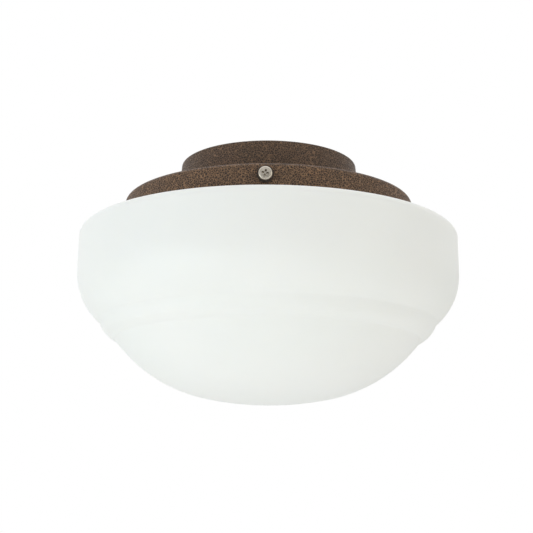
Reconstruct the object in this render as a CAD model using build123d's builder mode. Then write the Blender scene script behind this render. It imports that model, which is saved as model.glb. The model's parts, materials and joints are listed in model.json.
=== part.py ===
"""Ceiling-fan light kit: a stepped steel fitter that hangs under a fan and an opal glass shade below it.

Frame: millimetres, +Z up. The origin is the centre of the flat top face that meets the fan, so the kit hangs
below Z = 0 and only the threaded nipple stands above it. The first glass screw faces -Y.
"""

from build123d import *
from math import atan2, cos, degrees, hypot, pi, radians, sin, sqrt, tan
import os

# ---- fitter: an upper cup on a wider pan, both pressed from steel sheet
sheet = 1.2
cup_top_radius = 65.6
cup_foot_radius = 68.4
cup_height = 29.8
cup_edge_radius = 1.4
pan_radius = 107.0
pan_depth = 18.2
pan_edge_radius = 3.2
least_round = 0.5
hole_fit = 0.1

# ---- glass shade: outer surface
shade_radius = 139.7
glass_wall = 3.5
lip_to_pan = 4.2
lip_height = 2.6
lip_edge_radius = 0.9
lip_stand_out = 3.6
lip_root = 2.0
neck_height = 14.6
shoulder_slope = 9.8
top_corner_radius = 6.5
neck_root_radius = 3.0
side_height = 26.5
low_side_radius = 43.3
low_side_turn = 51.4
upper_groove_radius = 2.5
upper_groove_turn = 33.4
bead_radius = 18.6
bead_turn = 50.0
lower_groove_radius = 2.5
lower_groove_turn = 30.5
dome_shoulder_radius = 107.2
dome_shoulder_turn = 40.5

# ---- stack under the pan
gasket_thickness = 1.5
gasket_width = 8.0
gasket_overhang = 1.0
pad_thickness = 3.0
shield_thickness = 0.8
shield_radius = 92.0
bracket_thickness = 1.5
seat_gap = 0.3

# ---- threaded nipple and its nuts
nipple_radius = 5.1
nipple_bore_radius = 3.5
nipple_stand_up = 12.0
nipple_relief = 0.3
nipple_chamfer = 0.6
nut_flats = 16.0
nut_height = 5.0
lock_washer_radius = 8.5
lock_washer_thickness = 1.2
nipple_tail = 2.0

# ---- glass screws: 10-24 pan heads with rubber washers
screw_count = 3
front_angle = -90.0
screw_drop = 8.4
screw_shank_radius = 2.4
screw_tip_radius = 1.6
screw_tip_length = 0.8
screw_head_radius = 4.7
screw_head_height = 2.6
screw_head_round = 1.56
recess_width = 4.4
recess_slot = 1.1
recess_depth = 1.8
recess_angle = 12.0
washer_radius = 6.1
washer_thickness = 1.0
washer_fit = 0.08
wall_gap = 0.1
weld_nut_flats = 8.0
weld_nut_thickness = 2.6
thread_fit = 0.05

# ---- screws that hold the cup to the pan
tab_length = 14.0
tab_width = 14.0
tab_angles = (10.0, 130.0, 250.0)
tab_hole_circle = 57.5
cup_screw_radius = 2.0
cup_screw_length = 7.0
cup_screw_head_radius = 4.0
cup_screw_head_height = 2.2
pad_round_screw = 1.0

# ---- lamp holders and lamps
lamp_offset = 32.0
lamp_below_bracket = 35.7
lamp_fit = 0.3
socket_radius = 16.8
socket_length = 36.0
socket_mouth = 42.0
socket_chamfer = 1.0
socket_bore_radius = 14.2
socket_bore_depth = 29.0
shell_radius = 13.8
shell_wall = 0.4
shell_length = 24.0
shell_inset = 1.5
contact_radius = 4.0
contact_strap_width = 6.0
contact_strap_thickness = 0.8
ear_width = 24.0
ear_below_axis = 14.0
socket_screw_radius = 1.5
socket_screw_spacing = 18.0
socket_screw_head_radius = 2.85
socket_screw_head_height = 1.8
socket_screw_to_bore = 1.0
cap_radius = 13.1
cap_thread_depth = 0.8
cap_length = 21.0
cap_skirt = 4.0
cap_thread_pitch = 3.63
cap_threads = 4
cap_insulator_length = 3.0
cap_tip_radius = 4.5
cap_tip_length = 1.2
bulb_radius = 30.0
bulb_length = 108.0
bulb_wall = 1.0
bulb_neck_radius = 11.6
bulb_shoulder_angle = 55.0
stem_radius = 3.2
stem_foot_radius = 7.0
stem_taper = 8.0
stem_length = 44.0

# ---- lamp leads, their bushings and wire connectors
lead_radius = 1.1
lead_pitch = 2.6
lead_bend_radius = 7.5
riser_x = 38.0
riser_y = 32.0
lead_exit_x = 62.0
lead_below_bracket = 8.2
black_lead_drop = 12.0
white_lead_drop = 17.5
inner_turn_x = -12.0
inner_side_x = -22.0
inner_side_y = 14.0
exit_block_length = 10.0
exit_block_width = 8.0
exit_block_height = 1.2
bushing_bore_radius = 3.0
bushing_wall = 1.4
bushing_flange = 1.8
bushing_flange_thickness = 1.0
pad_hole_margin = 1.5
connector_mouth = 5.0
connector_length = 23.0
connector_mouth_radius = 6.5
connector_end_radius = 4.5
connector_bore_radius = 3.0
connector_bore_depth = 12.0
connector_round = 1.2
lead_in_connector = 9.0
ground_screw_y = 20.0
ground_screw_radius = 1.9
ground_screw_head_flats = 7.5
ground_screw_head_height = 3.0

# ---- derived levels, from the fan downwards
pan_top = -cup_height
pan_under = pan_top - sheet
pan_rim = pan_top - pan_depth
screw_level = pan_top - screw_drop
gasket_under = pan_under - gasket_thickness
glass_top = gasket_under - seat_gap
shield_top = pan_under - pad_thickness
shield_under = shield_top - shield_thickness
bracket_under = shield_under - bracket_thickness
nipple_foot = bracket_under - lock_washer_thickness - nut_height - nipple_tail
lip_radius = pan_radius - sheet - lip_to_pan
gasket_radius = lip_radius + gasket_overhang
neck_radius = lip_radius - lip_stand_out
neck_foot = glass_top - neck_height
lamp_level = bracket_under - lamp_below_bracket
socket_rear = socket_mouth + socket_length
cap_back = socket_mouth + cap_length + cap_insulator_length + cap_tip_length
bulb_neck_end = socket_mouth + cap_skirt
exit_block_top = lamp_level + socket_radius + exit_block_height
lead_crossing_level = bracket_under - lead_below_bracket
riser_radius = hypot(riser_x, riser_y)
riser_angle = degrees(atan2(riser_y, riser_x))
bushing_radius = bushing_bore_radius + bushing_wall
bushing_hole_radius = bushing_radius + hole_fit
flange_radius = bushing_radius + bushing_flange
pad_hole_radius = flange_radius + pad_hole_margin
screw_angles = [front_angle + 360 / screw_count * k for k in range(screw_count)]
lamp_sides = (1, -1)
standing = (Align.CENTER, Align.CENTER, Align.MIN)
hanging = (Align.CENTER, Align.CENTER, Align.MAX)

os.makedirs("parts", exist_ok=True)


def save(builder, name):
    """Labels a finished piece and writes it as one STEP file."""
    builder.part.label = name
    export_step(builder.part, f"parts/{name}.step")


def outward_plane(angle, distance, level):
    """A plane that looks away from the kit's axis, at a distance along that direction; its Y axis is up."""
    a = radians(angle)
    return Plane(
        origin=(distance * cos(a), distance * sin(a), level),
        x_dir=(-sin(a), cos(a), 0),
        z_dir=(cos(a), sin(a), 0),
    )


# ---------------------------------------------------------------- fitter
def cup_section(inset):
    """Half section of the cup, drawn inside its outer surface by inset, open at the foot."""
    with BuildSketch(Plane.XZ) as section:
        with BuildLine():
            FilletPolyline(
                (0, -inset),
                (cup_top_radius - inset, -inset),
                (cup_foot_radius - inset, pan_top),
                radius=max(cup_edge_radius - inset, least_round),
            )
            Line((cup_foot_radius - inset, pan_top), (0, pan_top))
            Line((0, pan_top), (0, -inset))
        make_face()
    return section.sketch


with BuildPart() as mounting_cup:
    revolve(cup_section(0), axis=Axis.Z)
    revolve(cup_section(sheet), axis=Axis.Z, mode=Mode.SUBTRACT)
    with BuildSketch(Plane.XY.offset(pan_top)):
        with PolarLocations(0, len(tab_angles), start_angle=tab_angles[0]):
            with Locations((cup_foot_radius - sheet / 2 - tab_length / 2, 0)):
                Rectangle(tab_length, tab_width)
        with PolarLocations(tab_hole_circle, len(tab_angles), start_angle=tab_angles[0]):
            Circle(cup_screw_radius + thread_fit, mode=Mode.SUBTRACT)
    extrude(amount=sheet)
    with BuildSketch():
        Circle(nipple_radius + hole_fit)
    extrude(amount=-sheet, mode=Mode.SUBTRACT)
save(mounting_cup, "mounting_cup")


def pan_section(inset):
    """Half section of the pan, drawn inside its outer surface by inset."""
    with BuildSketch(Plane.XZ) as section:
        with BuildLine():
            FilletPolyline(
                (0, pan_top - inset),
                (pan_radius - inset, pan_top - inset),
                (pan_radius - inset, pan_rim),
                radius=max(pan_edge_radius - inset, least_round),
            )
            Line((pan_radius - inset, pan_rim), (0, pan_rim))
            Line((0, pan_rim), (0, pan_top - inset))
        make_face()
    return section.sketch


with BuildPart() as glass_pan:
    revolve(pan_section(0), axis=Axis.Z)
    revolve(pan_section(sheet), axis=Axis.Z, mode=Mode.SUBTRACT)
    with BuildSketch(Plane.XY.offset(pan_top)):
        Circle(nipple_radius + hole_fit)
        with PolarLocations(tab_hole_circle, len(tab_angles), start_angle=tab_angles[0]):
            Circle(cup_screw_radius + hole_fit)
        with PolarLocations(riser_radius, len(lamp_sides), start_angle=riser_angle):
            Circle(bushing_hole_radius)
    extrude(amount=-sheet, mode=Mode.SUBTRACT)
    for angle in screw_angles:
        with BuildSketch(outward_plane(angle, pan_radius - 2 * sheet, screw_level)):
            Circle(screw_shank_radius + wall_gap)
        extrude(amount=4 * sheet, mode=Mode.SUBTRACT)
save(glass_pan, "glass_pan")

with BuildPart() as cup_screws:
    with PolarLocations(tab_hole_circle, len(tab_angles), start_angle=tab_angles[0]):
        with Locations((0, 0, pan_under)):
            Cylinder(cup_screw_radius, cup_screw_length, align=standing)
            Cylinder(cup_screw_head_radius, cup_screw_head_height, align=hanging)
    heads_under = cup_screws.edges().filter_by(GeomType.CIRCLE).group_by(Axis.Z)[0]
    fillet(heads_under, cup_screw_head_height / 2)
save(cup_screws, "cup_screws")

# ---------------------------------------------------------------- nipple, nuts and washer
with BuildPart(Plane.XY.offset(nipple_foot)) as threaded_nipple:
    nipple_length = nipple_stand_up - nipple_foot
    Cylinder(nipple_radius, nipple_length, align=standing)
    Cylinder(nipple_bore_radius, nipple_length, align=standing, mode=Mode.SUBTRACT)
    chamfer(threaded_nipple.faces().sort_by(Axis.Z)[-1].outer_wire().edges(), nipple_chamfer)
    chamfer(threaded_nipple.faces().sort_by(Axis.Z)[0].outer_wire().edges(), nipple_chamfer)
    with BuildSketch():
        Circle(2 * nipple_radius)
        Circle(nipple_radius - nipple_relief, mode=Mode.SUBTRACT)
    extrude(amount=-sheet, mode=Mode.SUBTRACT)
save(threaded_nipple, "threaded_nipple")


def hex_nut(foot, name):
    """A hexagon nut round the nipple, standing on a level."""
    with BuildPart(Plane.XY.offset(foot)) as nut:
        with BuildSketch(Plane.XY.offset(foot)):
            RegularPolygon(nut_flats / 2, 6, major_radius=False)
            Circle(nipple_radius + thread_fit, mode=Mode.SUBTRACT)
        extrude(amount=nut_height)
    save(nut, name)


hex_nut(pan_top, "nipple_nut_upper")
hex_nut(bracket_under - lock_washer_thickness - nut_height, "nipple_nut_lower")

with BuildPart() as lock_washer:
    with BuildSketch(Plane.XY.offset(bracket_under - lock_washer_thickness)):
        Circle(lock_washer_radius)
        Circle(nipple_radius + hole_fit, mode=Mode.SUBTRACT)
        with Locations((lock_washer_radius, 0)):
            Rectangle(lock_washer_radius, lock_washer_thickness, mode=Mode.SUBTRACT)
    extrude(amount=lock_washer_thickness)
save(lock_washer, "lock_washer")

# ---------------------------------------------------------------- gasket, pad and heat shield
with BuildPart() as rim_gasket:
    with BuildSketch(Plane.XY.offset(gasket_under)):
        Circle(gasket_radius)
        Circle(gasket_radius - gasket_width, mode=Mode.SUBTRACT)
    extrude(amount=gasket_thickness)
save(rim_gasket, "rim_gasket")

with BuildPart() as insulation_pad:
    with BuildSketch(Plane.XY.offset(shield_top)):
        Circle(shield_radius)
        Circle(nipple_radius + hole_fit, mode=Mode.SUBTRACT)
        with PolarLocations(tab_hole_circle, len(tab_angles), start_angle=tab_angles[0]):
            Circle(cup_screw_head_radius + pad_round_screw, mode=Mode.SUBTRACT)
        with PolarLocations(riser_radius, len(lamp_sides), start_angle=riser_angle):
            Circle(pad_hole_radius, mode=Mode.SUBTRACT)
    extrude(amount=pad_thickness)
save(insulation_pad, "insulation_pad")

with BuildPart() as heat_shield:
    with BuildSketch(Plane.XY.offset(shield_under)):
        Circle(shield_radius)
        Circle(nipple_radius + hole_fit, mode=Mode.SUBTRACT)
        with PolarLocations(riser_radius, len(lamp_sides), start_angle=riser_angle):
            Circle(pad_hole_radius, mode=Mode.SUBTRACT)
    extrude(amount=shield_thickness)
save(heat_shield, "heat_shield")

# ---------------------------------------------------------------- lamp bracket
ear_foot = lamp_level - ear_below_axis
with BuildPart() as socket_bracket:
    with BuildSketch(Plane.XY.offset(bracket_under)):
        for side in lamp_sides:
            with Locations((side * socket_rear, side * lamp_offset)):
                Rectangle(2 * bracket_thickness, ear_width)
        Circle(nut_flats)
        make_hull()
        Circle(nipple_radius + hole_fit, mode=Mode.SUBTRACT)
        with Locations((0, ground_screw_y), (0, -ground_screw_y)):
            Circle(ground_screw_radius + thread_fit, mode=Mode.SUBTRACT)
        with PolarLocations(riser_radius, len(lamp_sides), start_angle=riser_angle):
            Circle(pad_hole_radius, mode=Mode.SUBTRACT)
    extrude(amount=bracket_thickness)
    for side in lamp_sides:
        with Locations((side * (socket_rear + bracket_thickness / 2), side * lamp_offset, shield_under)):
            Box(bracket_thickness, ear_width, shield_under - ear_foot, align=hanging)
        with BuildSketch(Plane.YZ.offset(side * (socket_rear + bracket_thickness / 2))):
            with Locations((side * lamp_offset, lamp_level)):
                with GridLocations(socket_screw_spacing, 0, 2, 1):
                    Circle(socket_screw_radius + hole_fit)
        extrude(amount=bracket_thickness, both=True, mode=Mode.SUBTRACT)
save(socket_bracket, "socket_bracket")

with BuildPart() as ground_screw:
    with BuildSketch(Plane.XY.offset(bracket_under)):
        with Locations((0, ground_screw_y)):
            Circle(ground_screw_radius)
    extrude(amount=bracket_thickness)
    with BuildSketch(Plane.XY.offset(bracket_under)):
        with Locations((0, ground_screw_y)):
            RegularPolygon(ground_screw_head_flats / 2, 6, major_radius=False)
    extrude(amount=-ground_screw_head_height)
save(ground_screw, "ground_screw")


# ---------------------------------------------------------------- glass shade
def shade_section(inset):
    """Half section of the glass, drawn inside its outer surface by inset.

    Rounds that bulge outwards lose the inset and hollow ones gain it, so the wall keeps one thickness.
    The crown's radius is the one that brings its arc level at the axis.
    """
    corner_turn = 90 - shoulder_slope
    crown_turn = 90 - low_side_turn + upper_groove_turn - bead_turn + lower_groove_turn - dome_shoulder_turn
    slope = radians(shoulder_slope)
    root_tangent = neck_root_radius * tan(radians(corner_turn / 2))
    corner_tangent = top_corner_radius * tan(radians(corner_turn / 2))
    shoulder_run = (shade_radius - neck_radius) / cos(slope) - root_tangent - corner_tangent
    side_top = neck_foot - (shade_radius - neck_radius) * tan(slope) - corner_tangent
    side_foot = side_top - side_height
    widest = shade_radius - inset
    with BuildSketch(Plane.XZ) as section:
        with BuildLine():
            low_side = JernArc((widest, side_foot), (0, -1), low_side_radius - inset, -low_side_turn)
            upper_groove = JernArc(low_side @ 1, low_side % 1, upper_groove_radius + inset, upper_groove_turn)
            bead = JernArc(upper_groove @ 1, upper_groove % 1, bead_radius - inset, -bead_turn)
            lower_groove = JernArc(bead @ 1, bead % 1, lower_groove_radius + inset, lower_groove_turn)
            dome_radius = dome_shoulder_radius - inset
            dome = JernArc(lower_groove @ 1, lower_groove % 1, dome_radius, -dome_shoulder_turn)
            crown_radius = (dome @ 1).X / sin(radians(crown_turn))
            crown = JernArc(dome @ 1, dome % 1, crown_radius, -crown_turn)
            side = Line((widest, side_foot), (widest, side_top))
            corner = JernArc(side @ 1, side % 1, top_corner_radius - inset, corner_turn)
            shoulder = Line(corner @ 1, corner @ 1 + (corner % 1) * shoulder_run)
            root = JernArc(shoulder @ 1, shoulder % 1, neck_root_radius + inset, -corner_turn)
            neck = Line(root @ 1, ((root @ 1).X, glass_top))
            rim = Line(neck @ 1, (0, glass_top))
            Line(rim @ 1, crown @ 1)
        make_face()
    return section.sketch


with BuildPart() as glass_bowl:
    revolve(shade_section(0), axis=Axis.Z)
    with BuildSketch(Plane.XZ):
        with Locations((neck_radius + (lip_stand_out - lip_root) / 2, glass_top - lip_height / 2)):
            RectangleRounded(lip_stand_out + lip_root, lip_height, lip_edge_radius)
    revolve(axis=Axis.Z)
    revolve(shade_section(glass_wall), axis=Axis.Z, mode=Mode.SUBTRACT)
save(glass_bowl, "glass_bowl")

# ---------------------------------------------------------------- glass screws
washer_face = pan_radius + wall_gap + washer_thickness
screw_length = washer_face + wall_gap - (neck_radius + seat_gap)
nut_half_corner = weld_nut_flats / sqrt(3)
weld_nut_face = sqrt((pan_radius - sheet) ** 2 - nut_half_corner**2) - wall_gap
for k, angle in enumerate(screw_angles, start=1):
    with BuildPart() as washer:
        with BuildSketch(outward_plane(angle, pan_radius + wall_gap, screw_level)):
            Circle(washer_radius)
            Circle(screw_shank_radius + washer_fit, mode=Mode.SUBTRACT)
        extrude(amount=washer_thickness)
    save(washer, f"screw_washer_{k}")

    head_plane = outward_plane(angle, washer_face + wall_gap, screw_level)
    with BuildPart() as screw:
        with BuildSketch(head_plane):
            Circle(screw_head_radius)
        extrude(amount=screw_head_height)
        crown_edge = screw.edges().sort_by(Axis(head_plane.origin, head_plane.z_dir))[-1]
        fillet(crown_edge, screw_head_round)
        with BuildSketch(head_plane.offset(screw_head_height)):
            with Locations(Rotation(0, 0, -recess_angle)):
                Rectangle(recess_width, recess_slot)
                Rectangle(recess_slot, recess_width)
        extrude(amount=-recess_depth, mode=Mode.SUBTRACT)
        with BuildSketch(head_plane):
            Circle(screw_shank_radius)
        extrude(amount=-(screw_length - screw_tip_length))
        with BuildSketch(head_plane):
            Circle(screw_tip_radius)
        extrude(amount=-screw_length)
    save(screw, f"glass_screw_{k}")

with BuildPart() as weld_nuts:
    for angle in screw_angles:
        with BuildSketch(outward_plane(angle, weld_nut_face, screw_level)):
            RegularPolygon(weld_nut_flats / 2, 6, major_radius=False)
            Circle(screw_shank_radius + thread_fit, mode=Mode.SUBTRACT)
        extrude(amount=-weld_nut_thickness)
save(weld_nuts, "weld_nuts")


# ---------------------------------------------------------------- lamp holders and lamps
def lamp_plane(side, distance):
    """A plane square to a lamp's axis, at a distance along X on its holder's side, facing the ear."""
    return Plane(
        origin=(side * distance, side * lamp_offset, lamp_level),
        x_dir=(0, side, 0),
        z_dir=(side, 0, 0),
    )


def lamp_axis(side):
    """The axis of a lamp."""
    return Axis((0, side * lamp_offset, lamp_level), (side, 0, 0))


def lamp_section_plane(side):
    """A plane through a lamp's axis; its X axis points to the ear and its Y axis is up."""
    return Plane(
        origin=(0, side * lamp_offset, lamp_level),
        x_dir=(side, 0, 0),
        z_dir=(0, -side, 0),
    )


def bulb_section(side, inset):
    """Half section of a bulb's glass through its axis, drawn inside the outer surface by inset."""
    centre = cap_back - bulb_length + bulb_radius
    with BuildSketch(lamp_section_plane(side)) as section:
        with BuildLine():
            globe_radius = bulb_radius - inset
            neck = bulb_neck_radius - inset
            shoulder_angle = radians(bulb_shoulder_angle)
            shoulder = (centre + globe_radius * cos(shoulder_angle), globe_radius * sin(shoulder_angle))
            globe = ThreePointArc((centre - globe_radius, 0), (centre, globe_radius), shoulder)
            flank = Spline(globe @ 1, (socket_mouth, neck), tangents=(globe % 1, (1, 0)))
            end = Polyline(flank @ 1, (bulb_neck_end, neck), (bulb_neck_end, 0))
            Line(end @ 1, globe @ 0)
        make_face()
    return section.sketch


def cap_section(side):
    """Half section of a bulb's cap: a skirt round the glass, rolled thread ridges and a glass insulator."""
    root_radius = cap_radius - cap_thread_depth
    cap_end = socket_mouth + cap_length
    skirt_radius = bulb_neck_radius + thread_fit
    with BuildSketch(lamp_section_plane(side)) as section:
        with BuildLine():
            edge = Polyline((bulb_neck_end, 0), (bulb_neck_end, skirt_radius), (socket_mouth, skirt_radius))
            start = Line(edge @ 1, (socket_mouth, root_radius)) @ 1
            for turn in range(cap_threads):
                middle = bulb_neck_end + (turn + 0.5) * cap_thread_pitch
                ridge_start = (middle - cap_thread_pitch / 3, root_radius)
                ridge_end = (middle + cap_thread_pitch / 3, root_radius)
                Line(start, ridge_start)
                ThreePointArc(ridge_start, (middle, cap_radius), ridge_end)
                start = ridge_end
            Polyline(
                start,
                (cap_end, root_radius),
                (cap_end, cap_tip_radius + cap_insulator_length),
                (cap_end + cap_insulator_length, cap_tip_radius),
                (cap_end + cap_insulator_length, 0),
                (bulb_neck_end, 0),
            )
        make_face()
    return section.sketch


for number, side in enumerate(lamp_sides, start=1):
    rear_plane = lamp_plane(side, socket_rear)
    mouth_plane = lamp_plane(side, socket_mouth)
    with BuildPart() as socket_body:
        with BuildSketch(mouth_plane):
            Circle(socket_radius)
        extrude(amount=socket_length)
        chamfer(socket_body.edges().filter_by(GeomType.CIRCLE), socket_chamfer)
        with Locations((side * lead_exit_x, side * lamp_offset, exit_block_top)):
            Box(exit_block_length, exit_block_width, 2 * exit_block_height, align=hanging)
        with BuildSketch(mouth_plane):
            Circle(socket_bore_radius)
        extrude(amount=socket_bore_depth, mode=Mode.SUBTRACT)
        with BuildSketch(rear_plane):
            with GridLocations(socket_screw_spacing, 0, 2, 1):
                Circle(socket_screw_radius + thread_fit)
        extrude(amount=-(socket_length - socket_bore_depth), mode=Mode.SUBTRACT)
    save(socket_body, f"socket_body_{number}")

    with BuildPart() as socket_shell:
        with BuildSketch(mouth_plane.offset(shell_inset)):
            Circle(shell_radius)
            Circle(shell_radius - shell_wall, mode=Mode.SUBTRACT)
        extrude(amount=shell_length)
    save(socket_shell, f"socket_shell_{number}")

    contact_back = socket_bore_depth
    contact_front = cap_length + cap_insulator_length + cap_tip_length + lamp_fit
    with BuildPart() as socket_contact:
        with BuildSketch(mouth_plane.offset(contact_front)):
            Circle(contact_radius)
        extrude(amount=contact_back - contact_front)
        with BuildSketch(mouth_plane.offset(contact_back - contact_strap_thickness)):
            Rectangle(socket_bore_radius, contact_strap_width)
        extrude(amount=contact_strap_thickness)
    save(socket_contact, f"socket_contact_{number}")

    with BuildPart() as socket_screws:
        with BuildSketch(rear_plane.offset(bracket_thickness)):
            with GridLocations(socket_screw_spacing, 0, 2, 1):
                Circle(socket_screw_radius)
        extrude(amount=-(socket_length - socket_bore_depth + bracket_thickness - socket_screw_to_bore))
        with BuildSketch(rear_plane.offset(bracket_thickness)):
            with GridLocations(socket_screw_spacing, 0, 2, 1):
                Circle(socket_screw_head_radius)
        extrude(amount=socket_screw_head_height)
    save(socket_screws, f"socket_screws_{number}")

    with BuildPart() as bulb_globe:
        revolve(bulb_section(side, 0), axis=lamp_axis(side))
        revolve(bulb_section(side, bulb_wall), axis=lamp_axis(side), mode=Mode.SUBTRACT)
    save(bulb_globe, f"bulb_globe_{number}")

    with BuildPart() as bulb_cap:
        revolve(cap_section(side), axis=lamp_axis(side))
    save(bulb_cap, f"bulb_cap_{number}")

    with BuildPart() as bulb_tip:
        with BuildSketch(mouth_plane.offset(cap_length + cap_insulator_length)):
            Circle(cap_tip_radius)
        extrude(amount=cap_tip_length)
    save(bulb_tip, f"bulb_tip_{number}")

    with BuildPart() as bulb_stem:
        with BuildSketch(mouth_plane.offset(cap_skirt)):
            Circle(stem_foot_radius)
        extrude(amount=-stem_length / 2, taper=stem_taper)
        with BuildSketch(mouth_plane.offset(cap_skirt)):
            Circle(stem_radius)
        extrude(amount=-stem_length)
    save(bulb_stem, f"bulb_stem_{number}")


# ---------------------------------------------------------------- bushings, leads and connectors
for number, side in enumerate(lamp_sides, start=1):
    with BuildPart() as bushing:
        with BuildSketch(Plane.XY.offset(pan_under - bushing_flange_thickness)):
            with Locations((side * riser_x, side * riser_y)):
                Circle(flange_radius)
        extrude(amount=bushing_flange_thickness)
        with BuildSketch(Plane.XY.offset(pan_under)):
            with Locations((side * riser_x, side * riser_y)):
                Circle(bushing_radius)
        extrude(amount=2 * sheet)
        with BuildSketch(Plane.XY.offset(pan_under - bushing_flange_thickness)):
            with Locations((side * riser_x, side * riser_y)):
                Circle(bushing_bore_radius)
        extrude(amount=bushing_flange_thickness + 2 * sheet, mode=Mode.SUBTRACT)
    save(bushing, f"lead_bushing_{number}")


def lead_route(side, outer):
    """Points of one lead, from its holder up through the pan and across the cup to a wire connector.

    The outer lead of each pair goes straight to the connector on its own side. The inner one goes round the
    nipple to the other side's connector, and each colour keeps a level of its own where they cross.
    """
    lateral = riser_y + (lead_pitch / 2 if outer else -lead_pitch / 2)
    black = outer == (side > 0)
    level = -black_lead_drop if black else -white_lead_drop
    route = [
        (lead_exit_x, lateral, exit_block_top),
        (lead_exit_x, lateral, lead_crossing_level),
        (riser_x, lateral, lead_crossing_level),
        (riser_x, lateral, level),
    ]
    if outer:
        route += [(-connector_mouth - lead_in_connector, lateral, level)]
    else:
        route += [
            (inner_turn_x, inner_side_y, level),
            (inner_side_x, -inner_side_y, level),
            (inner_turn_x, -lateral, level),
            (connector_mouth + lead_in_connector, -lateral, level),
        ]
    return [(side * x, side * y, z) for x, y, z in route]


for number, side in enumerate(lamp_sides, start=1):
    for outer in (True, False):
        colour = "black" if outer == (side > 0) else "white"
        route = lead_route(side, outer)
        with BuildPart() as lead:
            with BuildLine() as path:
                FilletPolyline(*route, radius=lead_bend_radius)
            with BuildSketch(Plane(origin=path.line @ 0, z_dir=path.line % 0)):
                Circle(lead_radius)
            sweep(path=path.line)
        length = path.wires()[0].length
        filled = lead.part.volume / (pi * lead_radius**2 * length)
        name = f"lead_{colour}_{number}"
        print(f"{name}: length {length:.1f}, bend radius {lead_bend_radius}, filled {filled:.4f}")
        save(lead, name)

for colour, side, level in (("black", 1, -black_lead_drop), ("white", -1, -white_lead_drop)):
    mouth = Plane(origin=(-side * connector_mouth, side * riser_y, level), z_dir=(-side, 0, 0))
    taper_angle = degrees(atan2(connector_mouth_radius - connector_end_radius, connector_length))
    with BuildPart() as connector:
        with BuildSketch(mouth):
            Circle(connector_mouth_radius)
        extrude(amount=connector_length, taper=taper_angle)
        fillet(connector.edges().filter_by(GeomType.CIRCLE), connector_round)
        with BuildSketch(mouth):
            Circle(connector_bore_radius)
        extrude(amount=connector_bore_depth, mode=Mode.SUBTRACT)
    save(connector, f"wire_connector_{colour}")
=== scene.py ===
# %% [markdown]
# # A light kit that hangs under a ceiling fan
#
# The real object is a stepped fitter, pressed from two sheets of steel and painted with a hammered bronze
# coat, and a broad bowl of opal glass that three screws hold by its neck. Two lamps lie inside the bowl.
#
# The engineering model already has every size and joint. This lesson loads it, puts better surfaces where
# they show, and never moves a part. Everything is in metres, with the fan's side up and the first glass
# screw towards -Y.

# %% Load the frame
import json
from math import atan2, ceil, cos, hypot, pi, radians, sin, tau

import bmesh
import bpy
from mathutils import Matrix, Vector


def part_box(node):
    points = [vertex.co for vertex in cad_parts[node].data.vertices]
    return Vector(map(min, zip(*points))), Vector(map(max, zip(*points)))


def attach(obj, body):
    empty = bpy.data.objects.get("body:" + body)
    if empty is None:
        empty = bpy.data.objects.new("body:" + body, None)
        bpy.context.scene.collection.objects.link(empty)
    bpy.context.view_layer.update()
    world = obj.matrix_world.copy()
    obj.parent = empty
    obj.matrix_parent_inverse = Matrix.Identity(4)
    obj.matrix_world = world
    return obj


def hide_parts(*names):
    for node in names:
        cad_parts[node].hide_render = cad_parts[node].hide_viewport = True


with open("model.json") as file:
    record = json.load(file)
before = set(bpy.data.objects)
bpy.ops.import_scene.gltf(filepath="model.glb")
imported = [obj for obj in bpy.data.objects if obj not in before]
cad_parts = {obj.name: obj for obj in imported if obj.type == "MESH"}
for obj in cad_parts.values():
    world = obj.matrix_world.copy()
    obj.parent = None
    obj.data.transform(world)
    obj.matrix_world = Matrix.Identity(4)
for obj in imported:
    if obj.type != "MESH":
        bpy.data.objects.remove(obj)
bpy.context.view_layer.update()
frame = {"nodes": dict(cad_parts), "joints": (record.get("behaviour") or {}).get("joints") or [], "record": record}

MM = 0.001
nodes = frame["nodes"]
joints = {joint["name"]: joint for joint in frame["joints"]}

# %% [markdown]
# ## The camera, the floor and the light
#
# A long lens from less than a metre away keeps the rims nearly flat. The camera stands a degree to the
# right of the first screw.

# %% The camera
LOOK_UP = radians(12.63)
LOOK_ASIDE = radians(1.25)
CAMERA_ROLL = radians(0.4)
CAMERA_DISTANCE = 811.9 * MM
LENS = 73.6
AIM_ASIDE = -1.2 * MM
AIM_ABOVE_BOWL = 102.2 * MM
bowl_low, bowl_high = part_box("glass_bowl")
aim = Vector((AIM_ASIDE, 0, bowl_low.z + AIM_ABOVE_BOWL))

level = cos(LOOK_UP)
towards_camera = Vector((level * sin(LOOK_ASIDE), -level * cos(LOOK_ASIDE), -sin(LOOK_UP)))
rolled_camera = Matrix.Rotation(CAMERA_ROLL, 3, "Z").to_quaternion()
camera_data = bpy.data.cameras.new("camera")
camera_data.lens = LENS
camera_data.sensor_width = 36
camera_data.clip_start = 0.01
camera = bpy.data.objects.new("camera", camera_data)
camera.location = aim + towards_camera * CAMERA_DISTANCE
camera.rotation_mode = "QUATERNION"
camera.rotation_quaternion = (-towards_camera).to_track_quat("-Z", "Y") @ rolled_camera
bpy.context.scene.collection.objects.link(camera)
bpy.context.scene.camera = camera
print("the camera stands at", [round(x, 3) for x in camera.location])

# %% [markdown]
# A pale floor lies far below. Its own paint needs a little unevenness, or it looks like a sheet of nothing
# in the views from above.

# %% Helpers for node trees
def node(tree, kind, inputs=None, **settings):
    """Adds a node, sets its options, and fills or links its sockets."""
    made = tree.nodes.new(kind)
    for key, value in settings.items():
        setattr(made, key, value)
    for key, value in (inputs or {}).items():
        if isinstance(value, bpy.types.NodeSocket):
            tree.links.new(value, made.inputs[key])
        else:
            made.inputs[key].default_value = value
    return made


def new_material(name, **constants):
    """A material with one Principled shader, whose plain sockets are set by name."""
    material = bpy.data.materials.new(name)
    material.use_nodes = True
    shader = material.node_tree.nodes["Principled BSDF"]
    for key, value in constants.items():
        shader.inputs[key.replace("_", " ")].default_value = value
    return material, material.node_tree, shader


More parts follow.
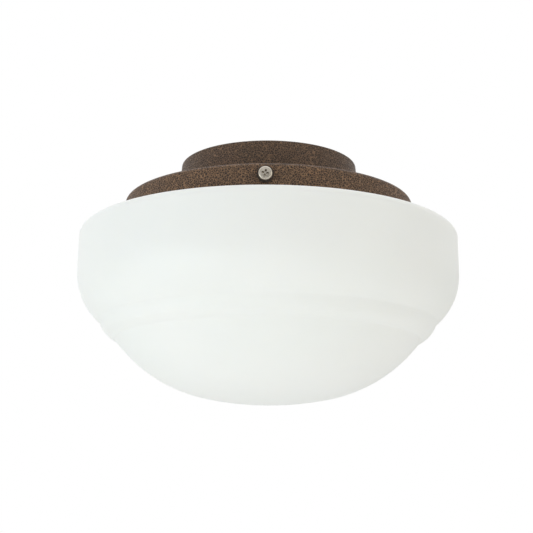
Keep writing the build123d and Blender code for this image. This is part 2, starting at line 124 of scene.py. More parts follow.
def paint(r, g, b):
    """A colour given as a paint chart gives it, from 0 to 255, as the linear colour that shaders take."""
    steps = [value / 255 for value in (r, g, b)]
    return (*[s / 12.92 if s <= 0.04045 else ((s + 0.055) / 1.055) ** 2.4 for s in steps], 1)


# %% [markdown]
# ## Shared effects
#
# Almost every surface here is uneven in two ways: slow clouds, where a coat is thicker or a sheet was
# handled, and a fine grain. One group makes both from noise, and each material asks for its own scale.
# Drawn metal also has streaks, which are the same noise pulled out along one direction.

# %% The mottle group
MIDDLE_NOISE = {"From Min": 0.3, "From Max": 0.7}


def shader_group(name, inputs, outputs):
    """An empty node group with float or vector inputs and the outputs asked for."""
    tree = bpy.data.node_groups.new(name, "ShaderNodeTree")
    for label, kind, value in inputs:
        socket = tree.interface.new_socket(label, in_out="INPUT", socket_type=kind)
        socket.default_value = value
    for label, kind in outputs:
        tree.interface.new_socket(label, in_out="OUTPUT", socket_type=kind)
    start = tree.nodes.new("NodeGroupInput")
    end = tree.nodes.new("NodeGroupOutput")
    return tree, start.outputs, end.inputs


mottle, given, wanted = shader_group(
    "mottle",
    [
        ("Scale", "NodeSocketFloat", 40.0),
        ("Stretch", "NodeSocketVector", (1.0, 1.0, 1.0)),
        ("Low", "NodeSocketFloat", 0.0),
        ("High", "NodeSocketFloat", 1.0),
    ],
    [("Value", "NodeSocketFloat")],
)
place = node(mottle, "ShaderNodeTexCoord")
pulled = node(
    mottle, "ShaderNodeVectorMath", {0: place.outputs["Object"], 1: given["Stretch"]}, operation="MULTIPLY"
)
clouds = node(
    mottle, "ShaderNodeTexNoise", {"Vector": pulled.outputs[0], "Scale": given["Scale"], "Detail": 4.0}
)
limits = {"To Min": given["Low"], "To Max": given["High"]}
spread = node(mottle, "ShaderNodeMapRange", {"Value": clouds.outputs["Fac"], **MIDDLE_NOISE, **limits})
mottle.links.new(spread.outputs["Result"], wanted["Value"])


def mottled(tree, scale, low, high, stretch=(1.0, 1.0, 1.0)):
    """A value that drifts between low and high over the surface, scale clouds to the metre."""
    made = node(tree, "ShaderNodeGroup", node_tree=mottle)
    made.inputs["Scale"].default_value = scale
    made.inputs["Stretch"].default_value = stretch
    made.inputs["Low"].default_value = low
    made.inputs["High"].default_value = high
    return made.outputs["Value"]


def two_tone(tree, factor, first, second):
    """A colour between two others, by a factor that varies over the surface."""
    mix = node(tree, "ShaderNodeMix", data_type="RGBA")
    tree.links.new(factor, mix.inputs["Factor"])
    mix.inputs["A"].default_value = first
    mix.inputs["B"].default_value = second
    return mix.outputs["Result"]


def bump(tree, shader, height, depth):
    """Sends a height to the shader's normal; depth is the relief in metres."""
    made = node(tree, "ShaderNodeBump", {"Height": height, "Distance": depth, "Strength": 1.0})
    tree.links.new(made.outputs["Normal"], shader.inputs["Normal"])


def clouded(tree, shader, scale, first, second, stretch=(1.0, 1.0, 1.0)):
    """Sends two near colours, in clouds, to the shader's base colour."""
    tone = two_tone(tree, mottled(tree, scale, 0, 1, stretch), first, second)
    tree.links.new(tone, shader.inputs["Base Color"])


# %% The floor and the light
FLOOR_DROP = 1.2
FLOOR_HALF = 4.0
floor_paint, tree, shader = new_material("floor_paint", Roughness=0.8)
clouded(tree, shader, 2, paint(226, 226, 224), paint(232, 232, 230))

bpy.ops.mesh.primitive_grid_add(
    x_subdivisions=8, y_subdivisions=8, size=2 * FLOOR_HALF, location=(0, 0, -FLOOR_DROP)
)
floor_plane = bpy.context.object
floor_plane.name = "floor"
floor_plane.data.materials.append(floor_paint)


def softbox(name, place, size, power, tint=(1, 1, 1)):
    data = bpy.data.lights.new(name, "AREA")
    data.shape = "SQUARE"
    data.size = size
    data.energy = power
    data.color = tint
    lamp = bpy.data.objects.new(name, data)
    lamp.location = place
    lamp.rotation_mode = "QUATERNION"
    lamp.rotation_quaternion = (aim - Vector(place)).to_track_quat("-Z", "Y")
    lamp.visible_camera = False
    bpy.context.scene.collection.objects.link(lamp)


softbox("low_left", (-1.6, -1.2, -0.85), 1.4, 15.7, (0.90, 1.0, 0.99))
softbox("low_front", (-0.3, -1.7, -0.9), 1.4, 2.3)
softbox("left", (-2.0, -1.6, 0.3), 1.8, 4.0)
softbox("right", (2.2, -1.4, 0.1), 1.8, 15.6, (1.0, 0.98, 0.86))

# %% [markdown]
# The room itself is white where the camera looks at it. A shader finds that from the direction that a ray
# leaves in.

# %% The white room
ROOM_EVEN = 0.13
ROOM_ABOVE = 0.97
ROOM_BEHIND = 0.57
ROOM_LEFT = 0.145
world = bpy.data.worlds.new("white_room")
world.use_nodes = True
bpy.context.scene.world = world
tree = world.node_tree
direction = node(tree, "ShaderNodeTexCoord").outputs["Generated"]
sides = node(tree, "ShaderNodeSeparateXYZ", {0: direction}).outputs
total = ROOM_EVEN
for side, factor in (("Z", ROOM_ABOVE), ("Y", ROOM_BEHIND), ("X", -ROOM_LEFT)):
    share = node(tree, "ShaderNodeMath", {0: sides[side], 1: factor}, operation="MULTIPLY", use_clamp=True)
    total = node(tree, "ShaderNodeMath", {0: share.outputs[0], 1: total}, operation="ADD").outputs[0]
seen = node(tree, "ShaderNodeLightPath").outputs["Is Camera Ray"]
strength = node(tree, "ShaderNodeMix", {"Factor": seen, "A": total, "B": 1.0}, data_type="FLOAT")
tree.nodes["Background"].inputs["Color"].default_value = (1, 1, 1, 1)
tree.links.new(strength.outputs["Result"], tree.nodes["Background"].inputs["Strength"])
bpy.context.scene.view_settings.view_transform = "Standard"
print("four soft lamps and a white room")

# %% [markdown]
# ## The hammered coat
#
# A hammered finish is one paint that pulls itself apart as it cures: pale metal-rich ridges wander round
# small dark pits. It could be sculpted, but the pits are about a millimetre wide, so colour, gloss and bump
# from one pattern do it better. Cells of a Voronoi texture, bent by noise, give pits of an even size with
# ridges that join up, which plain noise doesn't.

# %% The hammered group
hammered, given, wanted = shader_group(
    "hammered",
    [("Pits per metre", "NodeSocketFloat", 660.0), ("Wander", "NodeSocketFloat", 0.0011)],
    [("Ridge", "NodeSocketFloat"), ("Height", "NodeSocketFloat")],
)
at = node(hammered, "ShaderNodeTexCoord").outputs["Object"]
bend = node(hammered, "ShaderNodeTexNoise", {"Vector": at, "Scale": 900.0, "Detail": 2.0})
centred = node(
    hammered, "ShaderNodeVectorMath", {0: bend.outputs["Color"], 1: (0.5, 0.5, 0.5)}, operation="SUBTRACT"
)
shift = node(
    hammered, "ShaderNodeVectorMath", {0: centred.outputs[0], "Scale": given["Wander"]}, operation="SCALE"
)
bent = node(hammered, "ShaderNodeVectorMath", {0: at, 1: shift.outputs[0]}, operation="ADD")
cells = node(
    hammered,
    "ShaderNodeTexVoronoi",
    {"Vector": bent.outputs[0], "Scale": given["Pits per metre"]},
    feature="DISTANCE_TO_EDGE",
)
ridge = node(
    hammered,
    "ShaderNodeMapRange",
    {"Value": cells.outputs["Distance"], "From Min": 0.0, "From Max": 0.15, "To Min": 1.0, "To Max": 0.0},
    interpolation_type="SMOOTHSTEP",
)
fleck = node(hammered, "ShaderNodeTexNoise", {"Vector": at, "Scale": 1700.0, "Detail": 3.0}).outputs["Fac"]
flecks = node(hammered, "ShaderNodeMapRange", {"Value": fleck, **MIDDLE_NOISE, "To Min": -0.3, "To Max": 0.3})
flecked = node(
    hammered,
    "ShaderNodeMath",
    {0: ridge.outputs["Result"], 1: flecks.outputs["Result"]},
    operation="ADD",
    use_clamp=True,
)
hammered.links.new(flecked.outputs[0], wanted["Ridge"])
hammered.links.new(ridge.outputs["Result"], wanted["Height"])

# %% The bronze coat
def hammered_bronze(name, pale_first, pale_second):
    """One copy of the coat, by its paler tones; the pits and their colour are the same in every copy, and a darker
    copy is painted shade.
    """
    coat, tree, shader = new_material(name, Metallic=0.0, IOR=1.5)
    pattern = node(tree, "ShaderNodeGroup", node_tree=hammered)
    ridges = pattern.outputs["Ridge"]
    dark = two_tone(tree, mottled(tree, 28, 0, 1), paint(46, 31, 20), paint(54, 37, 26))
    pale = two_tone(tree, mottled(tree, 36, 0, 1), pale_first, pale_second)
    tone = node(tree, "ShaderNodeMix", {"Factor": ridges, "A": dark, "B": pale}, data_type="RGBA")
    tree.links.new(tone.outputs["Result"], shader.inputs["Base Color"])
    gloss = node(tree, "ShaderNodeMapRange", {"Value": ridges, "To Min": 0.62, "To Max": 0.46})
    tree.links.new(gloss.outputs["Result"], shader.inputs["Roughness"])
    bump(tree, shader, pattern.outputs["Height"], 0.16 * MM)
    print(name, "has", len(tree.nodes), "nodes")
    return coat


pan_coat = hammered_bronze("bronze_coat_pan", paint(140, 108, 78), paint(152, 114, 80))
# The cup's copy has darker pale tones than the pan's. This is painted shade: it stands in for the shade and the
# dark reflections that fall on the cup's wall.
cup_coat_painted_shade = hammered_bronze("bronze_coat_cup_painted_shade", paint(124, 96, 69), paint(134, 101, 73))

# %% [markdown]
# ## Turned and pressed shapes
#
# The bowl, the cup and the pan are all bodies of revolution, so a section and a turn are the whole shape.
# The section could be typed in again, but then it could disagree with the engineering model. It is read
# from that model instead: a plane through the axis cuts the part, and the cut's edges are chained into one
# closed outline. The new surface is then spun with far more steps than the engineering mesh has.

# %% Cutting and spinning
CUT_ANGLE = radians(75)
UPRIGHT = Matrix.Identity(4)


def section_of(name, axis=UPRIGHT, cut_angle=CUT_ANGLE):
    """The closed outline, as (radius, height) pairs, where a half plane through an axis cuts a CAD part."""
    work = bmesh.new()
    work.from_mesh(nodes[name].data)
    work.transform((axis @ Matrix.Rotation(cut_angle, 4, "Z")).inverted())
    bmesh.ops.remove_doubles(work, verts=work.verts, dist=1e-6)
    everything = work.verts[:] + work.edges[:] + work.faces[:]
    cut = bmesh.ops.bisect_plane(work, geom=everything, plane_co=(0, 0, 0), plane_no=(0, 1, 0))
    beside = {}
    for edge in cut["geom_cut"]:
        if isinstance(edge, bmesh.types.BMEdge) and min(v.co.x for v in edge.verts) > -1e-6:
            a, b = edge.verts
            beside.setdefault(a, []).append(b)
            beside.setdefault(b, []).append(a)
    ends = [v for v, near in beside.items() if len(near) == 1]
    here = ends[0] if ends else max(beside, key=lambda v: v.co.x)
    outline, before = [], None
    while here is not None and (not outline or here is not first):
        if not outline:
            first = here
        outline.append((max(here.co.x, 0.0), here.co.z))
        onward = [v for v in beside[here] if v is not before]
        before, here = here, onward[0] if onward else None
    work.free()
    return outline, bool(ends)


def divided(outline, longest, is_open):
    """The same outline with extra points, so that no run is longer than asked."""
    result = []
    pairs = zip(outline, outline[1:] if is_open else outline[1:] + outline[:1])
    for (r0, z0), (r1, z1) in pairs:
        pieces = max(1, ceil(hypot(r1 - r0, z1 - z0) / longest))
        result += [(r0 + (r1 - r0) * k / pieces, z0 + (z1 - z0) * k / pieces) for k in range(pieces)]
    return result + [outline[-1]] if is_open else result


def finish_piece(mesh_object, body, material, replaced=(), sharp=35):
    """Shades a piece, gives it its finish, and hands it to the body that it moves with."""
    data = mesh_object.data
    data.polygons.foreach_set("use_smooth", [True] * len(data.polygons))
    data.set_sharp_from_angle(angle=radians(sharp))
    data.materials.clear()
    data.materials.append(material)
    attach(mesh_object, body)
    if replaced:
        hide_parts(*replaced)
    print(f"{mesh_object.name}: {len(data.vertices)} points on {body}")


def mesh_piece(name, points, faces, place=UPRIGHT):
    """A new object from points and faces, in a place of its own."""
    data = bpy.data.meshes.new(name)
    data.from_pydata(points, [], faces)
    work = bmesh.new()
    work.from_mesh(data)
    bmesh.ops.remove_doubles(work, verts=work.verts, dist=1e-7)
    bmesh.ops.recalc_face_normals(work, faces=work.faces)
    work.to_mesh(data)
    work.free()
    made = bpy.data.objects.new(name, data)
    made.matrix_world = place
    bpy.context.scene.collection.objects.link(made)
    return made


def spin(name, outline, steps, is_open=False, place=UPRIGHT, shape=None):
    """Turns an outline about Z. A shape takes an angle, a radius and a height, and may change those two."""
    points, faces = [], []
    count = len(outline)
    for step in range(steps):
        angle = tau * step / steps
        for r, z in outline:
            if shape:
                r, z = shape(angle, r, z)
            points.append((r * cos(angle), r * sin(angle), z))
    last = count - 1 if is_open else count
    for step in range(steps):
        for k in range(last):
            a, b = step * count + k, step * count + (k + 1) % count
            c, d = ((step + 1) % steps) * count + (k + 1) % count, ((step + 1) % steps) * count + k
            faces.append((a, b, c, d))
    return mesh_piece(name, points, faces, place)


# %% [markdown]
# ## The opal bowl
#
# Opal glass is clear glass full of tiny crystals. Light goes a few millimetres in and comes out again, so
# it looks soft and never quite black in a shadow. An acid bath then takes the shine off. A white plastic
# would have the same colour, but a harder edge between light and shade, so the shader has some subsurface
# scattering and a satin roughness.
#
# The bowl is blown into an iron mould, which leaves it out of round by a few tenths of a millimetre. Three
# slow waves round the axis do that, and they fade out at the neck, which is ground true.

# %% The opal glass
opal, tree, shader = new_material("satin_opal", IOR=1.5, Subsurface_Weight=0.25, Subsurface_Scale=4 * MM)
shader.inputs["Subsurface Radius"].default_value = (1.0, 0.95, 0.85)
clouded(tree, shader, 14, paint(243, 245, 243), paint(246, 247, 245))
tree.links.new(mottled(tree, 90, 0.42, 0.5), shader.inputs["Roughness"])
bump(tree, shader, mottled(tree, 1500, 0, 1), 0.012 * MM)

# %% The bowl
NECK_HEIGHT = 20 * MM
WAVES_FADE_OVER = 30 * MM
WAVE_DEPTH = 0.14 * MM
STILL_CENTRE = 40 * MM


def blown(angle, r, z):
    """Where the mould and the cooling leave a point of the bowl."""
    below_neck = min(1, max(0, (bowl_high.z - NECK_HEIGHT - z) / WAVES_FADE_OVER))
    waves = sin(2 * angle + 0.7) + 0.6 * sin(3 * angle + 2.1) + 0.4 * sin(5 * angle + 40 * z)
    return r + WAVE_DEPTH * waves * below_neck * min(1, r / STILL_CENTRE), z


outline, is_open = section_of("glass_bowl")
outline = divided(outline, 2.5 * MM, is_open)
bowl = spin("opal_bowl", outline, 384, is_open, shape=blown)
finish_piece(bowl, "shade", opal, ["glass_bowl"], sharp=50)
print("outline of", len(outline), "points, open" if is_open else "points, closed")

# %% [markdown]
# ## The fitter
#
# Both steps of the fitter are deep-drawn from one sheet each, and then coated. Drawing leaves round edges,
# which the engineering model has, so the same cut and spin gives them. The coat hides the metal everywhere.
#
# Holes are punched after drawing. A spun surface can't have them, so a few cylinders are taken away from it
# with a boolean. Where each hole is comes from the screw or bushing that fills it: those nodes are split
# into their loose parts, and the middle and width of each part say where the punch goes.

# %% Reading loose parts
def loose_parts(name):
    """The corner points of each separate solid in a CAD node, in an order that never changes."""
    work = bmesh.new()
    work.from_mesh(nodes[name].data)
    bmesh.ops.remove_doubles(work, verts=work.verts, dist=1e-6)
    left, parts = dict.fromkeys(work.verts), []
    while left:
        front = [left.popitem()[0]]
        part = list(front)
        while front:
            for edge in front.pop().link_edges:
                for v in edge.verts:
                    if v in left:
                        left.pop(v)
                        front.append(v)
                        part.append(v)
        parts.append([v.co.copy() for v in part])
    work.free()
    return parts


def box_of(points):
    """The lowest and highest corners of some points."""
    low, high = ([edge(p[k] for p in points) for k in range(3)] for edge in (min, max))
    return Vector(low), Vector(high)


screw_places = {}
for number in (1, 2, 3):
    joint = joints[f"screw_turn_{number}"]
    turned = Vector(joint["axis"]).to_track_quat("Z", "Y").to_matrix().to_4x4()
    screw_places[number] = Matrix.Translation(joint["pos_m"]) @ turned
cup_screw_middles = [(low + high) / 2 for low, high in map(box_of, loose_parts("cup_screws"))]
print("cup screws at", [[round(x / MM, 1) for x in middle[:2]] for middle in cup_screw_middles], "mm")


# %% The punch
def rod(centre, radius, length, turned=UPRIGHT, sides=48):
    """Points and faces of a plain cylinder, used only to cut."""
    ring = [(radius * cos(tau * k / sides), radius * sin(tau * k / sides)) for k in range(sides)]
    points = [Vector((x, y, z)) for z in (-length / 2, length / 2) for x, y in ring]
    around = [(k, (k + 1) % sides, sides + (k + 1) % sides, sides + k) for k in range(sides)]
    ends = [tuple(range(sides))[::-1], tuple(range(sides, 2 * sides))]
    return [Matrix.Translation(centre) @ turned @ p for p in points], around + ends


def cut_away(target, cutters):
    """Takes closed shapes, given as points and faces, away from a piece."""
    points, faces = [], []
    for more_points, more_faces in cutters:
        faces += [tuple(k + len(points) for k in face) for face in more_faces]
        points += more_points
    cutter = mesh_piece("punch", points, faces)
    step = target.modifiers.new("punch", "BOOLEAN")
    step.object = cutter
    step.operation = "DIFFERENCE"
    step.solver = "EXACT"
    bpy.context.view_layer.objects.active = target
    bpy.ops.object.modifier_apply(modifier=step.name)
    bpy.data.objects.remove(cutter)


# %% The cup and the pan
PUNCH_LENGTH = 10 * MM
GLASS_SCREW_HOLE = 2.5 * MM
CUP_SCREW_HOLE = 2.1 * MM
pan_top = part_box("glass_pan")[1].z
punches = []
for name in ("lead_bushing_1", "lead_bushing_2"):
    low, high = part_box(name)
    middle = (low + high) / 2
    collar = max(p.x for part in loose_parts(name) for p in part if p.z > pan_top) - middle.x
    punches.append(rod(Vector((middle.x, middle.y, pan_top)), collar, PUNCH_LENGTH))
for middle in cup_screw_middles:
    punches.append(rod(Vector((middle.x, middle.y, pan_top)), CUP_SCREW_HOLE, PUNCH_LENGTH))
for place in screw_places.values():
    in_the_wall = place @ Vector((0, 0, -2 * MM))
    punches.append(rod(in_the_wall, GLASS_SCREW_HOLE, PUNCH_LENGTH, place.to_3x3().to_4x4()))
for name, node_name, coat in (("upper_cup", "mounting_cup", cup_coat_painted_shade), ("lower_pan", "glass_pan", pan_coat)):
    outline, is_open = section_of(node_name)
    shell = spin(name, divided(outline, 4 * MM, is_open), 256, is_open)
    if name == "lower_pan":
        cut_away(shell, punches)
    finish_piece(shell, "housing", coat, [node_name])

# %% [markdown]
# Three tabs are bent inwards from the cup's foot, and the cup screws hold the pan by them. Each is a strip
# with round corners and a hole, as thick as the sheet, with its edges broken.

# %% The tabs of the cup
def plate(name, outline, holes, thickness, place, edge=0.25 * MM):
    """A flat plate with soft edges, from an outline in its own plane, with round holes as (x, y, radius)."""
    points = [Vector((x, y, z)) for z in (-thickness / 2, thickness / 2) for x, y in outline]
    count = len(outline)
    faces = [tuple(range(count))[::-1], tuple(range(count, 2 * count))]
    faces += [(k, (k + 1) % count, count + (k + 1) % count, count + k) for k in range(count)]
    made = mesh_piece(name, points, faces)
    if holes:
        cut_away(made, [rod(Vector((x, y, 0)), radius, 3 * thickness) for x, y, radius in holes])
    soft = made.modifiers.new("soft_edge", "BEVEL")
    soft.width = edge
    soft.segments = 3
    soft.angle_limit = radians(50)
    bpy.context.view_layer.objects.active = made
    bpy.ops.object.modifier_apply(modifier=soft.name)
    made.matrix_world = place
    return made


def arc(x, y, radius, start, end, steps=8):
    """Points along part of a circle, with its angles in degrees."""
    angles = [radians(start + (end - start) * k / steps) for k in range(steps + 1)]
    return [(x + radius * cos(a), y + radius * sin(a)) for a in angles]


SHEET = 1.2 * MM
TAB_WIDTH = 14 * MM
TAB_CORNER = 4 * MM
cup_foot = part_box("mounting_cup")[0].z
cup_points = [p for part in loose_parts("mounting_cup") for p in part]
tab_reaches = [hypot(p.x, p.y) for p in cup_points if p.z < cup_foot + 1.5 * MM]
tab_inner = min(tab_reaches)
tab_outer = max(tab_reaches) - SHEET / 2
half = TAB_WIDTH / 2
tab_outline = [(tab_outer, half), *arc(tab_inner + TAB_CORNER, half - TAB_CORNER, TAB_CORNER, 90, 180)]
tab_outline += [*arc(tab_inner + TAB_CORNER, TAB_CORNER - half, TAB_CORNER, 180, 270), (tab_outer, -half)]
for number, middle in enumerate(cup_screw_middles, start=1):
    towards_screw = Matrix.Rotation(atan2(middle.y, middle.x), 4, "Z")
    place = Matrix.Translation((0, 0, cup_foot + SHEET / 2)) @ towards_screw
    hole = (hypot(middle.x, middle.y), 0, CUP_SCREW_HOLE)
    tab = plate(f"cup_tab_{number}", tab_outline, [hole], SHEET, place)
    finish_piece(tab, "housing", cup_coat_painted_shade)

# %% [markdown]
# ## Screws, rings and nuts
#
# A screw's head shows its making: the face is turned, which leaves a fine ring near the edge, and then a
# cross is struck into it. Four wedges cut the arms of the cross, so that the metal between them keeps its
# height, and a shallow dish joins them in the middle.
#
# The thread could be an array of rings, but a ring doesn't climb. The spin makes a true helix: a point of
# the shank stands out by how far it is along the axis less how far it is round it. Each screw stopped at
# another angle when it was tightened, so each head is turned a little differently.

# %% A helix for the spin
def thread(pitch, depth, start, end, core):
    """A shape for spin that cuts a right-handed thread into points beyond a core, from start to end."""

    def shape(angle, r, z):
        if r < core or not start <= z <= end:
            return r, z
        phase = (z / pitch - angle / tau) % 1
        groove = abs(2 * phase - 1)
        fade = min(1, (z - start) / pitch, (end - z) / pitch)
        return r - depth * groove * fade, z

    return shape


def local_points(name, place):
    """A CAD node's points, seen from a place of its own."""
    return [place.inverted() @ v.co for v in nodes[name].data.vertices]


def widest(points, low=-1.0, high=1.0):
    """The greatest distance from the local Z axis between two heights."""
    return max(hypot(p.x, p.y) for p in points if low <= p.z <= high)


# %% The nickel-plated glass screws
THREAD_PITCH = 25.4 / 24 * MM
nickel, tree, shader = new_material("satin_nickel", Metallic=1.0)
clouded(tree, shader, 300, paint(206, 198, 184), paint(222, 214, 202))
tree.links.new(mottled(tree, 900, 0.30, 0.42), shader.inputs["Roughness"])
bump(tree, shader, mottled(tree, 4000, 0, 1), 0.006 * MM)


def wedge(angle, inner, outer, width, depth, top):
    """One arm of a struck cross: a wedge that narrows downwards and outwards."""
    points = []
    mouth = (top + 0.5 * MM, outer * 1.05, width / 2 * 1.08)
    floor = (top - depth, outer * 0.78, width / 2 * 0.75)
    for z, far, side in (mouth, floor):
        points += [(inner, -side, z), (far, -side * 0.8, z), (far, side * 0.8, z), (inner, side, z)]
    turn = Matrix.Rotation(angle, 4, "Z")
    faces = [(3, 2, 1, 0), (4, 5, 6, 7), (0, 1, 5, 4), (1, 2, 6, 5), (2, 3, 7, 6), (3, 0, 4, 7)]
    return [turn @ Vector(p) for p in points], faces


HEAD_HEIGHT = 2.6 * MM
HEAD_EDGE = 1.3 * MM
HEAD_BREAK = 0.12 * MM
RING_AT = 0.76
ARM_FROM = 0.78 * MM
ARM_TO = 2.3 * MM
ARM_WIDTH = 1.3 * MM
ARM_DEPTH = 2.4 * MM
DISH_RADIUS = 0.95 * MM
LEAD_IN = 0.8 * MM
THREAD_STEP = 0.12 * MM
THREAD_DEPTH = 0.42 * MM
for number, strike in ((1, -12), (2, 31), (3, 58)):
    place = screw_places[number]
    seen_points = local_points(f"glass_screw_{number}", place)
    top = max(p.z for p in seen_points)
    tip = min(p.z for p in seen_points)
    under = top - HEAD_HEIGHT
    head = widest(seen_points)
    shank = widest(seen_points, tip, under - 1 * MM)
    point = widest(seen_points, tip, tip + 0.1 * MM)
    ring = head * RING_AT
    outline = [(0, top), (ring - 0.28 * MM, top)]
    outline += [(ring, top - 0.14 * MM), (ring + 0.2 * MM, top - 0.03 * MM)]
    outline += arc(head - HEAD_EDGE, top - HEAD_EDGE, HEAD_EDGE, 84, 0, 10)
    outline += [(head, under + HEAD_BREAK), (head - HEAD_BREAK, under), (shank, under)]
    thread_steps = int((under - tip - LEAD_IN) / THREAD_STEP)
    outline += [(shank, under - k * THREAD_STEP) for k in range(1, thread_steps)]
    outline += [(shank, tip + LEAD_IN), (point, tip + 0.6 * MM), (point, tip + 0.15 * MM)]
    outline += [(point - 0.2 * MM, tip), (0, tip)]
    cut_thread = thread(THREAD_PITCH, THREAD_DEPTH, tip + LEAD_IN, under - 1.2 * MM, point + 0.2 * MM)
    screw = spin(f"nickel_screw_{number}", outline, 96, True, shape=cut_thread)
    angles = [radians(strike + 90 * k) for k in range(4)]
    cut_away(screw, [wedge(angle, ARM_FROM, ARM_TO, ARM_WIDTH, ARM_DEPTH, top) for angle in angles])
    cut_away(screw, [rod(Vector((0, 0, top)), DISH_RADIUS, 0.5 * MM, sides=24)])
    screw.matrix_world = place
    finish_piece(screw, f"screw_{number}", nickel, [f"glass_screw_{number}"], sharp=30)

# %% The rubber rings
RING_SQUEEZE = 0.25 * MM
INNER_EDGE = 0.2 * MM
# Partly the washer's own dark rubber and partly painted shadow: its brown tone is the shade that falls round each
# screw head.
rubber_and_shadow, tree, shader = new_material("dark_rubber")
clouded(tree, shader, 300, paint(46, 36, 29), paint(58, 46, 37))
tree.links.new(mottled(tree, 700, 0.68, 0.84), shader.inputs["Roughness"])
bump(tree, shader, mottled(tree, 2600, 0, 1), 0.02 * MM)
for number, place in screw_places.items():
    seen_points = local_points(f"screw_washer_{number}", place)
    low = min(p.z for p in seen_points)
    high = max(p.z for p in seen_points)
    outer = widest(seen_points) - RING_SQUEEZE
    inner = min(hypot(p.x, p.y) for p in seen_points)
    soft = (high - low) / 2
    middle = (high + low) / 2
    outline = arc(outer - soft, middle, soft, -90, 90, 12)
    outline += arc(inner + INNER_EDGE, high - INNER_EDGE, INNER_EDGE, 90, 180, 4)
    outline += arc(inner + INNER_EDGE, low + INNER_EDGE, INNER_EDGE, 180, 270, 4)
    ring = spin(f"rubber_ring_{number}", outline, 96, place=place)
    finish_piece(ring, f"washer_{number}", rubber_and_shadow, [f"screw_washer_{number}"])

# %% [markdown]
# The nipple is a lamp maker's tube with a thread from end to end. Nuts are hexagons with their corners
# turned off by a cone, which is why each flat ends in a curve. Spinning can make that too: a point that lies
# outside the hexagon is pulled in to the flat, and the cone's height there goes with it.

# %% The zinc plate
zinc, tree, shader = new_material("zinc_plate", Metallic=1.0)
clouded(tree, shader, 120, paint(176, 179, 176), paint(198, 198, 188))
tree.links.new(mottled(tree, 480, 0.28, 0.42), shader.inputs["Roughness"])
bump(tree, shader, mottled(tree, 1100, 0, 1), 0.01 * MM)

# %% The nipple
NIPPLE_PITCH = 25.4 / 27 * MM
OUTER_BREAK = 0.6 * MM
BORE_BREAK = 0.3 * MM
nipple_low, nipple_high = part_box("threaded_nipple")
nipple_radius = nipple_high.x
nipple_bore = min(hypot(v.co.x, v.co.y) for v in nodes["threaded_nipple"].data.vertices)
run = nipple_high.z - nipple_low.z
steps = int(run / THREAD_STEP)
outline = [(nipple_radius, nipple_low.z + run * k / steps) for k in range(steps + 1)]
outline[0] = (nipple_radius - OUTER_BREAK, nipple_low.z)
outline[-1] = (nipple_radius - OUTER_BREAK, nipple_high.z)
outline += [(nipple_bore + BORE_BREAK, nipple_high.z), (nipple_bore, nipple_high.z - BORE_BREAK)]
outline += [(nipple_bore, nipple_low.z + BORE_BREAK), (nipple_bore + BORE_BREAK, nipple_low.z)]
cut_thread = thread(NIPPLE_PITCH, 0.45 * MM, nipple_low.z, nipple_high.z, nipple_radius - 0.1 * MM)
nipple = spin("lamp_nipple", outline, 72, shape=cut_thread)
finish_piece(nipple, "housing", zinc, ["threaded_nipple"], sharp=40)


# %% The nuts
CONE_RISE = 0.577
NUT_BREAK = 0.4 * MM
WELDED_BORE = 2.45 * MM


def nut(name, points, bore, place, steps=144):
    """A hexagon nut with turned corners, in the space that some CAD points fill, seen from a place."""
    low = min(p.z for p in points)
    high = max(p.z for p in points)
    corner_point = max(points, key=lambda p: hypot(p.x, p.y))
    corner = hypot(corner_point.x, corner_point.y)
    corner_angle = atan2(corner_point.y, corner_point.x)
    cone_start = corner * cos(pi / 6) * 0.97

    def shape(angle, r, z):
        around = (angle - corner_angle) % (pi / 3) - pi / 6
        flat = corner * cos(pi / 6) / cos(around)
        if r <= flat:
            return r, z
        lift = max(0, flat - cone_start) * CONE_RISE
        return flat, (low + lift if z < (low + high) / 2 else high - lift)

    drop = (corner - cone_start) * CONE_RISE
    outline = [(bore + NUT_BREAK, low), (cone_start, low), (corner, low + drop), (corner, high - drop)]
    outline += [(cone_start, high), (bore + NUT_BREAK, high)]
    outline += [(bore, high - NUT_BREAK), (bore, low + NUT_BREAK)]
    made = spin(name, outline, steps, place=place, shape=shape)
    finish_piece(made, "housing", zinc, sharp=25)
    return made


for name in ("nipple_nut_upper", "nipple_nut_lower"):
    corners = local_points(name, UPRIGHT)
    hexagon = nut(name.replace("nipple_nut", "hexagon_nut"), corners, nipple_radius, UPRIGHT)
    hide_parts(name)
for part in loose_parts("weld_nuts"):
    low, high = box_of(part)
    middle = (low + high) / 2
    number, place = min(screw_places.items(), key=lambda entry: (entry[1].translation - middle).length)
    nut(f"welded_nut_{number}", [place.inverted() @ p for p in part], WELDED_BORE, place)
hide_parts("weld_nuts")

# %% [markdown]
# ## Lamps and connectors
#
# The lamps lie on their sides, towards each other, and each cap has a rolled thread that a mould can't leave
# as rings. A lamp is a turned shape on its own axis, so it is cut and spun like the bowl, but round a place
# whose Z axis lies along the lamp. The wire connectors have flutes for the fingers, which fade towards the
# mouth.

# %% The lamps
CAP_PITCH = 3.63 * MM
ROLL_DEPTH = 0.8 * MM
ROLL_FADE = 1.5 * MM
lamp_glass, tree, shader = new_material(
    "soft_white_glass", IOR=1.5, Subsurface_Weight=0.2, Subsurface_Scale=3 * MM
)
clouded(tree, shader, 40, paint(241, 239, 231), paint(236, 233, 224))
tree.links.new(mottled(tree, 200, 0.38, 0.5), shader.inputs["Roughness"])
cap_metal, tree, shader = new_material("cap_aluminium", Metallic=1.0)
clouded(tree, shader, 140, paint(190, 190, 188), paint(204, 204, 202))
tree.links.new(mottled(tree, 500, 0.24, 0.38), shader.inputs["Roughness"])
bump(tree, shader, mottled(tree, 1300, 0, 1), 0.01 * MM)


def along_x(name, side):
    """A place on a turned node's own axis, whose Z axis points out along X on that side."""
    low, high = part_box(name)
    middle = Vector((0, (low.y + high.y) / 2, (low.z + high.z) / 2))
    return Matrix.Translation(middle) @ Vector((side, 0, 0)).to_track_quat("Z", "Y").to_matrix().to_4x4()


